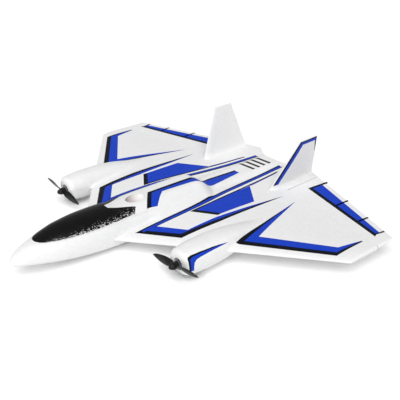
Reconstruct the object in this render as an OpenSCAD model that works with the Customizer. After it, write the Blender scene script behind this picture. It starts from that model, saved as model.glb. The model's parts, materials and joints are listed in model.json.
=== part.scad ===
// Twin-motor flying wing: moulded foam airframe, elevons, fins, motor pods and fittings.
// Origin: middle of the resting face. +Z up, nose towards -Y, tail towards +Y.

/* [Wing] */
// Half of the wing span
half_span = 300; // [290:1:310]
// Y of the leading edge at the tip
tip_le = 82; // [78:1:86]
// Y of the elevon hinge at the tip
tip_hinge = 141; // [138:1:144]
// Y of the trailing edge at the tip
tip_te = 176; // [172:1:180]
// Leading edge sweep, mm back for each mm out
le_sweep = 0.785; // [0.75:0.005:0.82]
// Hinge line sweep, mm forward for each mm out
hinge_sweep = 0.173; // [0.15:0.001:0.2]
// Trailing edge sweep, mm forward for each mm out
te_sweep = 0.365; // [0.34:0.005:0.39]
// Height of the wing's upper plane above the resting face
wing_z = 30; // [28:0.5:32]
// Wing thickness at the fuselage side
root_thick = 20; // [18:0.5:23]
// Wing thickness at the tip
tip_thick = 8; // [7:0.5:10]

/* [Elevons] */
// X of the wing's cut at the elevon's inner end
elevon_in = 98; // [96:1:102]
// Gap at the elevon's inner end
elevon_gap = 1.6; // [1.4:0.1:2.5]
// Bevel under the hinge, which lets the elevon go down
bevel = 26; // [24:1:32]

/* [Fuselage] */
// Half width of the fuselage where it meets the wing panels
root_x = 57; // [57:1:57]
// Y of the nose tip
nose_y = -266; // [-270:1:-262]
// Half width of the nose behind its taper
nose_w = 39.5; // [38:0.5:41]
// Height of the parting plane under the canopy hatch
part_z = 46; // [45:0.5:47]
// Height of the space inside the canopy hatch
hatch_room = 5.5; // [4:0.5:6]

/* [Motors] */
// X of each motor's axis
motor_x = 146; // [144:1:148]
// Height of each motor's axis
motor_z = 24; // [23:0.5:25]
// Y of the firewall's front face
firewall_y = -66; // [-68:1:-64]
// Propeller diameter
prop_d = 98; // [90:1:102]
// Propeller pitch, advance in one turn
prop_pitch = 52; // [44:1:76]
// How far each outboard blade is parked above level
prop_park = 6.5; // [0:0.5:10]
// Motor bell's outer diameter
bell_d = 24; // [22:1:25]
// Diameter of each pod's mouth
mouth_d = 18; // [16:1:20]
// Motor shaft diameter
shaft_d = 3; // [3:0.5:4]

/* [Controls] */
// Distance along the hinge from its inner end to the control horn
horn_at = 26; // [24:1:32]
// Radius of the control horn and of the servo arm
crank_r = 16; // [15:0.5:17]
// Distance from the servo shaft back to the hinge
rod_run = 46; // [42:1:48]
// Pushrod wire diameter
rod_d = 1.2; // [1:0.1:1.5]

/* [Hidden] */
$fn = 48;

foam = "white";
clearance = 0.4;
pin_d = rod_d - 0.1;
inner_hinge = [elevon_in, hinge_y(elevon_in)];
hinge_angle = -atan(hinge_sweep);
axis_z = wing_z - 0.4;
shaft_z = axis_z - 7.3;
hub_at = 32;
bore_d = 28;
nose_len = -120 - nose_y;
shelf_y = -64;
spar_y = 30;
spar_z = 25;
spar_r = 2.5;
magnet_at = [16, -55];
peg_at = -214;
tray_z = 16;
strap_y = -133;

// Helpers ------------------------------------------------------------

function lerp(a, b, t) = a + (b - a) * t;
function clamp(v) = max(0, min(1, v));
function smooth(t) = clamp(t) * clamp(t) * (3 - 2 * clamp(t));
// Rounded version of max(0, v), with the corner rounded over +-e
function soft(v, e) = v < -e ? 0 : v > e ? v : (v + e) * (v + e) / (4 * e);
function smax(a, b, e) = b + soft(a - b, e);
function smin(a, b, e) = -smax(-a, -b, e);
// Half of a superellipse: 1 in the middle, 0 at the rim, steeply down beyond it
function dome(u, n) = u >= 1 ? -2.5 * (u - 1) : pow(1 - pow(u, n), 1 / n);

// Wing surface -------------------------------------------------------

function le_y(x) = tip_le - le_sweep * (half_span - x);
function te_y(x) = tip_te + te_sweep * (half_span - x);
function hinge_y(x) = tip_hinge + hinge_sweep * (half_span - x);
function le_x(y) = half_span - (tip_le - y) / le_sweep;
function span_part(x) = (x - root_x) / (half_span - root_x);
function wing_thick(x) = lerp(root_thick, tip_thick, span_part(x));
function camber(x) = lerp(5, 1, span_part(x));
// Four-digit thickness curve, 1 at 30 % of the chord
function section(s) = s <= 0 ? 0 :
    10 * (0.2969 * sqrt(s) - 0.126 * s - 0.3516 * s * s + 0.2843 * s * s * s - 0.1036 * s * s * s * s);
function chord_part(x, y) = (y - le_y(x)) / (te_y(x) - le_y(x));
function back_part(s) = smooth((s - 0.3) / 0.5);
function front_mid(x) = wing_z + camber(x) - wing_thick(x) / 2;
function wing_top(x, y) =
    let (s = chord_part(x, y))
    s < 0.3 ? front_mid(x) + 0.5 * wing_thick(x) * section(s)
            : wing_z + camber(x) * (1 - back_part(s));
function wing_bottom(x, y) =
    let (s = chord_part(x, y))
    s < 0.3 ? front_mid(x) - 0.5 * wing_thick(x) * section(s)
            : wing_z + camber(x) * (1 - back_part(s)) - wing_thick(x) * section(s) - 2 * back_part(s);

// Fuselage surface ---------------------------------------------------

function nose_half(y) =
    y > -120 ? nose_w : nose_w * pow(max(0, 1 - pow((-120 - y) / nose_len, 1.6)), 1 / 1.8);
waterline = 25.5;
ridge = [[nose_y, 25.5], [-262, 31.5], [-255, 37], [-243, 42.5], [-230, 46.5], [-205, 53.5], [-185, 57.5],
         [-150, 59.5], [-112, 58.5], [-95, 56.5], [-40, 55.5], [50, 54], [60, 51], [78, 38], [88, 35.5],
         [240, 34], [280, 33]];
keel = [[nose_y, 25.5], [-262, 22], [-255, 20.5], [-235, 17], [-205, 11], [-173, 6], [-140, 2.6], [-110, 1],
        [80, 1], [125, 4], [180, 13], [230, 23], [280, 28]];
keel_w = [[-120, nose_w], [0, 44], [100, 40], [200, 26], [280, 14]];
function ridge_z(y) = lookup(y, ridge);
function keel_z(y) = lookup(y, keel);
function keel_half(y) = y < -120 ? nose_half(y) : lookup(y, keel_w);
spine_flat = 19;
spine_slope = 0.68;
function hump(x, y) =
    let (round_top = waterline + (ridge_z(y) - waterline) * dome(x / nose_half(y), 2.2),
         roof_top = ridge_z(y) - spine_slope * soft(x - spine_flat, 5))
    lerp(round_top, roof_top, smooth((y + 100) / 60));
function belly(x, y) = waterline - (waterline - keel_z(y)) * dome(x / keel_half(y), 2.4);
function body_top(x, y) = smax(wing_top(x, y), hump(x, y), 3);
function body_bottom(x, y) = smin(wing_bottom(x, y), belly(x, y), 3);
function body_half(y) = y < le_y(root_x) ? min(root_x, smax(nose_half(y), le_x(y), 5)) : root_x;

// The trailing edge steps forward in the middle, with a slanted side
function notch_y(x) = x < 15.4 ? 240 : lerp(240, te_y(53), clamp((x - 15.4) / 37.6));
function rear_y(x) = x < 53 ? notch_y(x) : te_y(x);

// Closed solid from rings of points, each ring with the same count
module rings(pts) {
    n = len(pts[0]);
    m = len(pts);
    sides = [for (j = [0:m - 2], i = [0:n - 1], half = [0, 1])
        let (a = j * n + i, b = j * n + (i + 1) % n, c = a + n, d = b + n)
        half == 0 ? [a, d, b] : [a, c, d]];
    last = (m - 1) * n;
    caps = [for (i = [0:n / 2 - 2]) each [
        [i, i + 1, n - 1 - i], [i + 1, n - 2 - i, n - 1 - i],
        [last + i, last + n - 1 - i, last + i + 1], [last + i + 1, last + n - 1 - i, last + n - 2 - i]]];
    polyhedron([for (r = pts, p = r) p], concat(sides, caps), convexity = 8);
}

// One cross ring of the fuselage at station y; part is the chord part at the root
function body_ring(y, part, n) =
    let (half = body_half(y),
         xs = [for (i = [-n:n]) half * sin(90 * i / n)],
         at = function (x) y + (rear_y(abs(x)) - te_y(root_x)) * pow(part, 6))
    concat([for (x = xs) [x, at(x), body_top(abs(x), at(x)) + 0.2]],
           [for (i = [2 * n:-1:0]) let (x = xs[i]) [x, at(x), body_bottom(abs(x), at(x)) - 0.2]]);

module body_loft() {
    nose_ys = [for (k = [0:14]) lerp(nose_y + 0.2, le_y(root_x) - 2.5, pow(k / 14, 1.5))];
    parts = [for (k = [0:20]) pow(k / 20, 1.25)];
    root_le = le_y(root_x);
    root_te = te_y(root_x);
    rings(concat([for (y = nose_ys) body_ring(y, 0, 10)],
                 [for (s = parts) body_ring(lerp(root_le, root_te, s), s, 10)]));
}

// One ring round the wing's section at x
function wing_ring(x, n) =
    let (le = le_y(x), chord = te_y(x) - le, parts = [for (k = [0:n]) pow(k / n, 1.6)])
    concat([for (k = [n:-1:0]) let (y = le + parts[k] * chord) [x, y, wing_top(x, y) + 0.2]],
           [for (k = [0:n]) let (y = le + parts[k] * chord) [x, y, wing_bottom(x, y) - 0.2]]);

module wing_loft() {
    stations = [root_x, 80, 110, 146, 190, 240, 280, 294, half_span];
    rings([for (x = stations) wing_ring(x, 15)]);
}

// Frame on the hinge line: X outboard along it, Y aft, Z up, drawn for the left side
module at_hinge() {
    translate([inner_hinge[0], inner_hinge[1], axis_z])
        rotate([0, 0, hinge_angle])
            children();
}

// Draws the left side's piece, or its mirror image
module sided(side) {
    mirror([side < 0 ? 1 : 0, 0, 0])
        children();
}

// Motor frame: Z forward from the firewall's front face
module at_motor() {
    translate([motor_x, firewall_y, motor_z])
        rotate([90, 0, 0])
            children();
}

// Motor pod ----------------------------------------------------------

pod_front = -93;
pod_back = 62;
pod_half = [[-93, 17], [-90, 20], [-84, 21.8], [-60, 23.2], [-30, 23], [0, 20.5], [30, 15], [50, 9.5], [62, 5]];
pod_top = [[-93, 39], [-90, 42], [-84, 44], [-60, 46.5], [-30, 46.5], [0, 44], [30, 39], [50, 34.5], [62, 31]];
pod_low = [[-93, 9], [-90, 7], [-84, 5.6], [-60, 4.6], [-30, 6], [0, 9.5], [30, 14.5], [50, 18.5], [62, 21.5]];

function pod_ring(y, grow, n) =
    let (half = lookup(y, pod_half) + grow, top = lookup(y, pod_top) + grow, low = lookup(y, pod_low) - grow,
         mid = (top + low) / 2, tall = (top - low) / 2, power = 2 / 2.5,
         bend = function (v) sign(v) * pow(abs(v), power))
    [for (i = [0:n - 1]) let (a = 360 * i / n)
        [motor_x - half * bend(cos(a)), y, mid + tall * bend(sin(a))]];

module pod_loft(grow = 0, from = pod_front, to = pod_back) {
    stations = concat([from], [for (p = pod_half) if (p[0] > from + 1 && p[0] < to - 1) p[0]], [to]);
    rings([for (y = stations) pod_ring(y, grow, 28)]);
}

chin_top = 13;
chin_back = -60;
module chin_space() {
    translate([motor_x - 30, pod_front - 1, 0])
        cube([60, chin_back - pod_front + 1, chin_top]);
}

// Cutters ------------------------------------------------------------

module hatch_space(grow = 0) {
    back = -31 + grow;
    translate([0, 0, part_z - grow])
        linear_extrude(30)
            polygon([[-60, nose_y], [60, nose_y], [60, back - 0.8 * 60], [0, back], [-60, back - 0.8 * 60]]);
}

module bay_space() {
    translate([0, 0, tray_z])
        linear_extrude(40)
            polygon([[-14, -205], [14, -205], [23, -172], [26, -130], [26, shelf_y],
                     [-26, shelf_y], [-26, -130], [-23, -172]]);
}

module elevon_space() {
    intersection() {
        at_hinge()
            translate([-20, 0, 0])
                rotate([90, 0, 90])
                    linear_extrude(260)
                        polygon([[0.8, 8], [0.8, -0.4], [0.8 + 14 * tan(bevel), -14.4], [110, -14.4], [110, 8]]);
        translate([elevon_in + elevon_gap, 0, 0])
            cube([250, 400, 60]);
    }
}

module elevon_cut() {
    intersection() {
        at_hinge()
            translate([-20, -0.4, -30])
                cube([260, 130, 45]);
        translate([elevon_in, 0, 0])
            cube([250, 400, 60]);
    }
}

servo_u = horn_at;
servo_size = [17, 20, 8.6];
module servo_space(grow = 0) {
    at_hinge()
        translate([servo_u - servo_size[0] - grow, -rod_run - 15 - grow, -14])
            cube([servo_size[0] + 2 * grow, 20 + 2 * grow, 11.2 + grow]);
    at_hinge()
        translate([servo_u - 1, -rod_run - 8, -16])
            cube([9, 16, 13.2]);
}

module tube_path(points, d) {
    for (k = [0:len(points) - 2])
        let (a = points[k], b = points[k + 1], v = b - a, h = norm(v))
            translate(a)
                rotate([0, acos(v[2] / h), atan2(v[1], v[0])])
                    cylinder(d = d, h = h, $fn = 16);
    for (k = [1:1:len(points) - 2])
        translate(points[k])
            sphere(d = d + 0.1, $fn = 16);
}

motor_wire_path = [[140, -65.5, 24], [140, -34, 24], [18.3, -70, 24]];
servo_lead_path = [[97, 124.4, 21], [14, -65.5, 18.8]];
wire_pitch = 2;

module wire_channels() {
    tube_path([[140, -40, 24], [140, -34, 24], [20, -70, 24]], 8);
    tube_path(servo_lead_path, 3);
}

module spar_bore() {
    translate([-205, spar_y, spar_z])
        rotate([0, 90, 0])
            cylinder(r = spar_r + 0.05, h = 410);
}

// Foam pieces --------------------------------------------------------

module fuselage() {
    color(foam)
        difference() {
            body_loft();
            hatch_space(clearance);
            bay_space();
            spar_bore();
            belly_recess();
            translate([-17.6, strap_y - 8.4, tray_z - 1.4])
                cube([35.2, 16.8, 2]);
            for (side = [-1, 1])
                sided(side) {
                    wire_channels();
                    translate([magnet_at[0], magnet_at[1], part_z - clearance - 2])
                        cylinder(d = 6, h = 5);
                }
            translate([0, peg_at, part_z - 8])
                cylinder(d = 4.1, h = 9);
            for (k = [0:3])
                translate([-24, 177.5 + 13 * k, 32])
                    rotate([0, 0, 4])
                        cube([38, 4.5, 10]);
        }
}

skid_size = [44, 170];
module belly_recess() {
    translate([-skid_size[0] / 2, -95, -1])
        cube([skid_size[0], skid_size[1], 2.4]);
}

module wing(side) {
    color(foam)
        sided(side)
            difference() {
                wing_loft();
                elevon_cut();
                pod_loft();
                fin_blade();
                servo_space(0.2);
                wire_channels();
                spar_bore();
            }
}
module left_wing() { wing(1); }
module right_wing() { wing(-1); }

module elevon(side) {
    color(foam)
        sided(side)
            difference() {
                intersection() {
                    wing_loft();
                    elevon_space();
                }
                at_hinge()
                    horn_plate();
            }
}
module left_elevon() { elevon(1); }
module right_elevon() { elevon(-1); }

// Thin moulded web that the elevon bends on
module hinge_strip(side) {
    color("whitesmoke")
        sided(side)
            at_hinge()
                translate([3, -0.4, -0.4])
                    cube([198, 0.7, 0.8]);
}
module left_hinge_strip() { hinge_strip(1); }
module right_hinge_strip() { hinge_strip(-1); }

// Fin blade, canted out, with its foot let into the wing
fin_base = [[80.2, 148.5, 28], [77.6, 253, 28]];
fin_tip = [[102, 194, 111.6], [102.2, 233.5, 109.3]];
module fin_edge(p, thick, up) {
    translate(p)
        rotate([0, 15, 0])
            cylinder(d1 = thick, d2 = thick * 0.6, h = up, $fn = 16);
}
module fin_blade() {
    hull() {
        fin_edge(fin_base[0] + [0, 4, 0], 3.4, 0.5);
        fin_edge(lerp(fin_base[0], fin_base[1], 0.3), 5.4, 0.5);
        fin_edge(fin_base[1] - [0, 3, 0], 2.4, 0.5);
        fin_edge(fin_tip[0] + [0, 3, -1], 2.2, 0.5);
        fin_edge(lerp(fin_tip[0], fin_tip[1], 0.35) - [0, 0, 1], 3, 0.5);
        fin_edge(fin_tip[1] - [0, 2, 1], 1.8, 0.5);
    }
}
module left_fin() { color(foam) fin_blade(); }
module right_fin() { color(foam) sided(-1) fin_blade(); }

module motor_pod(side) {
    color(foam)
        sided(side)
            difference() {
                pod_loft();
                at_motor() {
                    translate([0, 0, -2])
                        cylinder(d = bore_d, h = 23);
                    cylinder(d = mouth_d, h = 30);
                    screw_holes(-6, -1);
                    translate([0, 0, -34])
                        cylinder(d = 18, h = 33);
                }
                chin_space();
                wire_channels();
                spar_bore();
                servo_space(0.2);
            }
}
module left_motor_pod() { motor_pod(1); }
module right_motor_pod() { motor_pod(-1); }

// Thin clear shell that closes the pod under the motor
module chin_cowl(side) {
    color("gainsboro", 0.5)
        sided(side)
            difference() {
                intersection() {
                    pod_loft();
                    translate([motor_x - 30, pod_front - 1, 0])
                        cube([60, chin_back - pod_front + 0.7, chin_top - 0.3]);
                }
                pod_loft(-1.2, pod_front + 1.2, chin_back);
            }
}
module left_chin_cowl() { chin_cowl(1); }
module right_chin_cowl() { chin_cowl(-1); }

module canopy_hatch() {
    color("dimgray")
        difference() {
            intersection() {
                body_loft();
                hatch_space();
            }
            hatch_hollow();
            translate([0, -60, 55.5 + 20])
                sphere(r = 26);
            for (x = [-1, 1])
                translate([x * magnet_at[0], magnet_at[1], part_z - 1])
                    cylinder(d = 6, h = 3);
            translate([0, peg_at, part_z - 1])
                cylinder(d = 4, h = 4);
        }
}

// Space inside the hatch over the battery
module hatch_hollow() {
    translate([0, 0, part_z - 1])
        linear_extrude(hatch_room + 1)
            polygon([[-9, -196], [9, -196], [17, -165], [20, -130], [20, -84], [-20, -84], [-20, -130], [-17, -165]]);
}

module hatch_pegs() {
    color("black")
        translate([0, peg_at, part_z - 6])
            cylinder(d = 4, h = 9);
}

module hatch_magnets() {
    color("silver")
        for (x = [-1, 1])
            translate([x * magnet_at[0], magnet_at[1], part_z])
                cylinder(d = 6, h = 2);
}

module fuselage_magnets() {
    color("silver")
        for (x = [-1, 1])
            translate([x * magnet_at[0], magnet_at[1], part_z - clearance - 2])
                cylinder(d = 6, h = 2);
}

// Wear plate under the belly
module belly_skid() {
    color("dimgray")
        translate([-skid_size[0] / 2, -95, 0])
            cube([skid_size[0], skid_size[1], 1.4]);
}

module carbon_spar() {
    color("black")
        translate([-200, spar_y, spar_z])
            rotate([0, 90, 0])
                difference() {
                    cylinder(r = spar_r, h = 400);
                    translate([0, 0, -1])
                        cylinder(r = spar_r - 1, h = 402);
                }
}

// Motors -------------------------------------------------------------

module screw_holes(low, high) {
    for (a = [45:90:315])
        rotate([0, 0, a])
            translate([11, 0, low])
                cylinder(d = 1.6, h = high - low);
}

module firewall(side) {
    color("black")
        sided(side)
            at_motor()
                difference() {
                    translate([0, 0, -2])
                        cylinder(d = bore_d, h = 2);
                    translate([0, 0, -3])
                        cylinder(d = 6, h = 4);
                    screw_holes(-3, 1);
                    translate([-8.5, -4, -3])
                        cube([5, 8, 4]);
                }
}
module left_firewall() { firewall(1); }
module right_firewall() { firewall(-1); }

module firewall_screws() {
    color("silver")
        for (side = [-1, 1], a = [45:90:315])
            sided(side)
                at_motor()
                    rotate([0, 0, a])
                        translate([11, 0, 0]) {
                            translate([0, 0, -6])
                                cylinder(d = 1.6, h = 7.5);
                            difference() {
                                translate([0, 0, 1.5])
                                    cylinder(d = 3, h = 1.2);
                                translate([0, 0, 2.2])
                                    cylinder(d = 1.5, h = 1, $fn = 6);
                            }
                        }
}

// Fixed half of the motor: base, bearing tube and toothed core
module stator(side) {
    color("silver")
        sided(side)
            at_motor()
                difference() {
                    union() {
                        difference() {
                            cylinder(d = 27, h = 1.5);
                            translate([-8.5, -4, -1])
                                cube([5, 8, 4]);
                        }
                        cylinder(d = 9, h = 15);
                        translate([0, 0, 5])
                            for (k = [0:8])
                                rotate([0, 0, 40 * k + 20]) {
                                    translate([0, -1, 0])
                                        cube([8.5, 2, 7.5]);
                                    translate([8, -2.6, 0])
                                        cube([1.6, 5.2, 7.5]);
                                }
                    }
                    translate([0, 0, -1])
                        cylinder(d = 6, h = 20);
                    screw_holes(-1, 3);
                }
}
module left_stator() { stator(1); }
module right_stator() { stator(-1); }

// Copper coils round each tooth
module windings(side) {
    color("peru")
        sided(side)
            at_motor()
                for (k = [0:8])
                    rotate([0, 0, 40 * k + 20])
                        translate([6.3, 0, 0])
                            difference() {
                                translate([0, -2.1, 3.8])
                                    cube([1.7, 4.2, 9.9]);
                                translate([-1, -1, 5])
                                    cube([6, 2, 7.5]);
                            }
}
module left_windings() { windings(1); }
module right_windings() { windings(-1); }

module motor_bearings() {
    color("silver")
        for (side = [-1, 1], z = [0.5, 12])
            sided(side)
                at_motor()
                    translate([0, 0, z])
                        difference() {
                            cylinder(d = 6, h = 2.5);
                            translate([0, 0, -1])
                                cylinder(d = shaft_d + 0.04, h = 5);
                        }
}

// Turning can of the motor, open to the rear, with cooling windows in its face
module motor_bell(side) {
    color("navy")
        sided(side)
            at_motor()
                difference() {
                    rotate_extrude()
                        polygon([[0, 16.2], [bell_d / 2 - 1.4, 16.2], [bell_d / 2 - 1.4, 4], [bell_d / 2, 4],
                                 [bell_d / 2, 16.6], [bell_d / 2 - 1.2, 18], [5, 19], [4, 21], [0, 21]]);
                    cylinder(d = shaft_d, h = 30);
                    for (k = [0:5])
                        rotate([0, 0, 60 * k])
                            translate([7.2, 0, 14])
                                cylinder(d = 3.6, h = 8);
                }
}
module left_motor_bell() { motor_bell(1); }
module right_motor_bell() { motor_bell(-1); }

// Steel shaft with the propeller adapter's collar
module shaft(side) {
    color("gray")
        sided(side)
            at_motor()
                rotate_extrude()
                    polygon([[0, 0.5], [shaft_d / 2, 0.5], [shaft_d / 2, 21], [3.6, 21], [4, 22], [4, hub_at - 5],
                             [5.2, hub_at - 4.5], [5.2, hub_at - 3.5], [shaft_d / 2, hub_at - 3.5],
                             [shaft_d / 2, hub_at + 8.5], [0, hub_at + 8.5]]);
}
module left_shaft() { shaft(1); }
module right_shaft() { shaft(-1); }

module prop_nut(side) {
    color("black")
        sided(side)
            at_motor()
                translate([0, 0, hub_at + 3.5])
                    difference() {
                        rotate_extrude()
                            polygon([[0, 0], [4.8, 0], [4.6, 2], [3.4, 4.8], [1.8, 6.4], [0, 6.8]]);
                        translate([0, 0, -1])
                            cylinder(d = shaft_d, h = 6.1);
                    }
}
module left_prop_nut() { prop_nut(1); }
module right_prop_nut() { prop_nut(-1); }

blade_root = 4;
function blade_chord(t) = 6.2 + 6.6 * sin(180 * pow(clamp(t), 0.8)) * (1 - 0.35 * t) - 3 * pow(t, 6);
function blade_angle(r) = atan(prop_pitch / (2 * PI * r));
// Ring round the blade's section at radius r, a thin bent lens
function blade_ring(r, n) =
    let (t = (r - blade_root) / (prop_d / 2 - blade_root),
         tip = sqrt(max(0.02, 1 - pow(t, 14))),
         c = blade_chord(t) * tip, thick = lerp(2.6, 0.9, pow(t, 0.5)), a = blade_angle(max(r, 9)))
    [for (i = [0:n - 1])
        let (w = 360 * i / n, u = c / 2 * cos(w), v = thick / 2 * sin(w) + 0.05 * c * (1 - pow(2 * u / c, 2)))
        [r, u * cos(a) - v * sin(a), u * sin(a) + v * cos(a)]];

module blade() {
    steps = 15;
    rings([for (k = [0:steps]) blade_ring(lerp(blade_root, prop_d / 2, 1 - pow(1 - k / steps, 1.5)), 12)]);
}

module propeller(side) {
    color("black")
        sided(side)
            at_motor()
                translate([0, 0, hub_at])
                    rotate([0, 0, prop_park])
                        difference() {
                            union() {
                                cylinder(d = 11, h = 7, center = true);
                                for (a = [0, 180])
                                    rotate([0, 0, a])
                                        blade();
                            }
                            cylinder(d = shaft_d, h = 10, center = true);
                        }
}
module left_propeller() { propeller(1); }
module right_propeller() { propeller(-1); }

module motor_wires(side) {
    color("dimgray")
        sided(side)
            for (k = [-1:1])
                tube_path([for (p = motor_wire_path) p + [0, 0, k * wire_pitch]], 1.6);
}
module left_motor_wires() { motor_wires(1); }
module right_motor_wires() { motor_wires(-1); }

// Controls -----------------------------------------------------------

module servo(side) {
    color("black")
        sided(side)
            at_hinge()
                translate([servo_u, -rod_run, shaft_z - axis_z]) {
                    translate([-servo_size[0], -15, -servo_size[2] / 2])
                        cube([servo_size[0] - 1.2, servo_size[1], servo_size[2]]);
                    rotate([0, 90, 0])
                        translate([0, 0, -1.3])
                            cylinder(d = 4, h = 3);
                }
}
module left_servo() { servo(1); }
module right_servo() { servo(-1); }

module servo_lead(side) {
    color("saddlebrown")
        sided(side)
            tube_path(servo_lead_path, 2.2);
}
module left_servo_lead() { servo_lead(1); }
module right_servo_lead() { servo_lead(-1); }

crank_in = 2;
crank_thick = 1.6;
module servo_arm(side) {
    color("white")
        sided(side)
            at_hinge()
                translate([servo_u + crank_in, -rod_run, shaft_z - axis_z])
                    rotate([0, 90, 0])
                        difference() {
                            hull() {
                                cylinder(r = 3.4, h = crank_thick, $fn = 32);
                                translate([crank_r, 0, 0])
                                    cylinder(r = 2.2, h = crank_thick, $fn = 32);
                            }
                            translate([crank_r, 0, -1])
                                cylinder(d = pin_d + 0.1, h = 4, $fn = 24);
                        }
}
module left_servo_arm() { servo_arm(1); }
module right_servo_arm() { servo_arm(-1); }

// Wire pushrod with a bend through the arm and another through the horn
module pushrod(side) {
    front = [servo_u + 5.2, -rod_run, shaft_z - axis_z - crank_r];
    back = [servo_u + 5.2, 0, -crank_r];
    over = (back - front) * (rod_d / 2) / norm(back - front);
    color("silver")
        sided(side)
            at_hinge() {
                tube_path([front - over, back + over], rod_d);
                for (p = [front, back])
                    tube_path([p - [4.6, 0, 0], p + [0.2, 0, 0]], pin_d);
            }
}
module left_pushrod() { pushrod(1); }
module right_pushrod() { pushrod(-1); }

module horn_plate() {
    translate([servo_u + crank_in, 0, 0])
        rotate([90, 0, 90])
            linear_extrude(crank_thick)
                polygon([[-1.6, -17.8], [1.6, -18], [14, -9], [16, -6], [8.6, -6], [7, -9.6], [-1.8, -14.2]]);
}

// Plastic horn under the elevon, with its hole straight below the hinge
module control_horn(side) {
    color("white")
        sided(side)
            at_hinge()
                difference() {
                    horn_plate();
                    translate([servo_u, 0, -crank_r])
                        rotate([0, 90, 0])
                            cylinder(d = pin_d + 0.7, h = 6, $fn = 24);
                }
}
module left_control_horn() { control_horn(1); }
module right_control_horn() { control_horn(-1); }

// Battery bay --------------------------------------------------------

battery_size = [32, 58, 19];
battery_y = -162;
module battery_tray() {
    color("tan")
        translate([-20, -168, tray_z])
            difference() {
                cube([40, 96, 1.5]);
                for (x = [2, 36])
                    translate([x, 26, -1])
                        cube([2, 18, 4]);
            }
}

module battery() {
    color("royalblue")
        translate([-battery_size[0] / 2, battery_y, tray_z + 1.5])
            cube(battery_size);
}

// Hook-and-loop band round the battery and the tray
module battery_strap() {
    color("black")
        translate([0, strap_y, 0])
            rotate([90, 0, 0])
                linear_extrude(16, center = true)
                    difference() {
                        translate([-17.4, tray_z - 1.2])
                            square([34.8, 24]);
                        translate([-16.2, tray_z])
                            square([32.4, 20.7]);
                    }
}

module battery_plug() {
    color("darkorange")
        translate([-5, -104, tray_z + 4])
            cube([10, 7, 8]);
    color("red")
        for (x = [-2.5, 2.5])
            translate([x, -97, tray_z + 8])
                rotate([-90, 0, 0])
                    cylinder(d = 2, h = 5, $fn = 24);
}

module control_board() {
    color("darkgreen")
        translate([-18, -92, tray_z + 1.5])
            cube([36, 26, 10]);
}

fuselage();
left_wing();
right_wing();
canopy_hatch();
hatch_pegs();
hatch_magnets();
fuselage_magnets();
belly_skid();
carbon_spar();
left_hinge_strip();
right_hinge_strip();
left_elevon();
right_elevon();
left_fin();
right_fin();
left_motor_pod();
right_motor_pod();
left_chin_cowl();
right_chin_cowl();
left_firewall();
right_firewall();
firewall_screws();
left_stator();
right_stator();
left_windings();
right_windings();
motor_bearings();
left_motor_bell();
right_motor_bell();
left_shaft();
right_shaft();
left_propeller();
right_propeller();
left_prop_nut();
right_prop_nut();
left_motor_wires();
right_motor_wires();
left_servo();
right_servo();
left_servo_lead();
right_servo_lead();
left_servo_arm();
right_servo_arm();
left_pushrod();
right_pushrod();
left_control_horn();
right_control_horn();
battery();
battery_strap();
battery_tray();
battery_plug();
control_board();
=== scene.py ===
"""Looks of the twin-motor flying wing: foam, trim film, canopy print and propellers on the CAD frame."""

import json
import math

import bmesh
import bpy
import numpy as np
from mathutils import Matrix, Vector


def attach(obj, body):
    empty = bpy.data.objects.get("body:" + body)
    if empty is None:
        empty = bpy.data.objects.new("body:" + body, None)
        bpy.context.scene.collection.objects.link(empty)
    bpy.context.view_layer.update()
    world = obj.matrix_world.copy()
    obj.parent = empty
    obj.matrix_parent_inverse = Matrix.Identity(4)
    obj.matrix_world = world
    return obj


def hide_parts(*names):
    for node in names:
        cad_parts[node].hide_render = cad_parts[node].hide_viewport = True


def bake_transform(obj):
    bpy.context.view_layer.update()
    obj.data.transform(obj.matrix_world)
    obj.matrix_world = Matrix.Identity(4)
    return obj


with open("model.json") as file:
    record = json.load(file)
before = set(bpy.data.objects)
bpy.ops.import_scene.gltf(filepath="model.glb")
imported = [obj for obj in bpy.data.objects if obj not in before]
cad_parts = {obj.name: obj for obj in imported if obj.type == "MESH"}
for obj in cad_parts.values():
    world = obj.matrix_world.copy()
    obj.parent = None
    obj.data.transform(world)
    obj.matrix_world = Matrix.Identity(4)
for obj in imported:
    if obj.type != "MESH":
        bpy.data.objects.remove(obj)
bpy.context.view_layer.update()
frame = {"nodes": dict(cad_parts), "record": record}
MM = 0.001
SIDES = {"left": 1, "right": -1}

# --- The foam's surface, in millimetres; the same rules as the CAD ---

HALF_SPAN, ROOT_X = 300.0, 57.0
TIP_LE, TIP_HINGE, TIP_TE = 82.0, 141.0, 176.0
LE_SWEEP, HINGE_SWEEP, TE_SWEEP = 0.785, 0.173, 0.365
WING_Z, ROOT_THICK, TIP_THICK = 30.0, 20.0, 8.0
NOSE_Y, NOSE_HALF, NOSE_END = -266.0, 39.5, -120.0
WATERLINE = 25.5
THICKEST = 0.3  # share of the chord ahead of the wing's thickest point
SPINE_FLAT, SPINE_SLOPE = 19.0, 0.68
ROOF_Y, ROOF_LENGTH = -100.0, 60.0  # where the round nose turns into the roof-shaped spine
BODY_BLEND, POD_BLEND = 3.0, 5.0  # roundings where the body and the pods meet the wing
MOTOR_X, MOTOR_Z, FIREWALL_Y = 146.0, 24.0, -66.0
POD_FRONT, POD_END, POD_ROUND, POD_SQUARE = -93.0, 62.0, 7.0, 2.5

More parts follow.
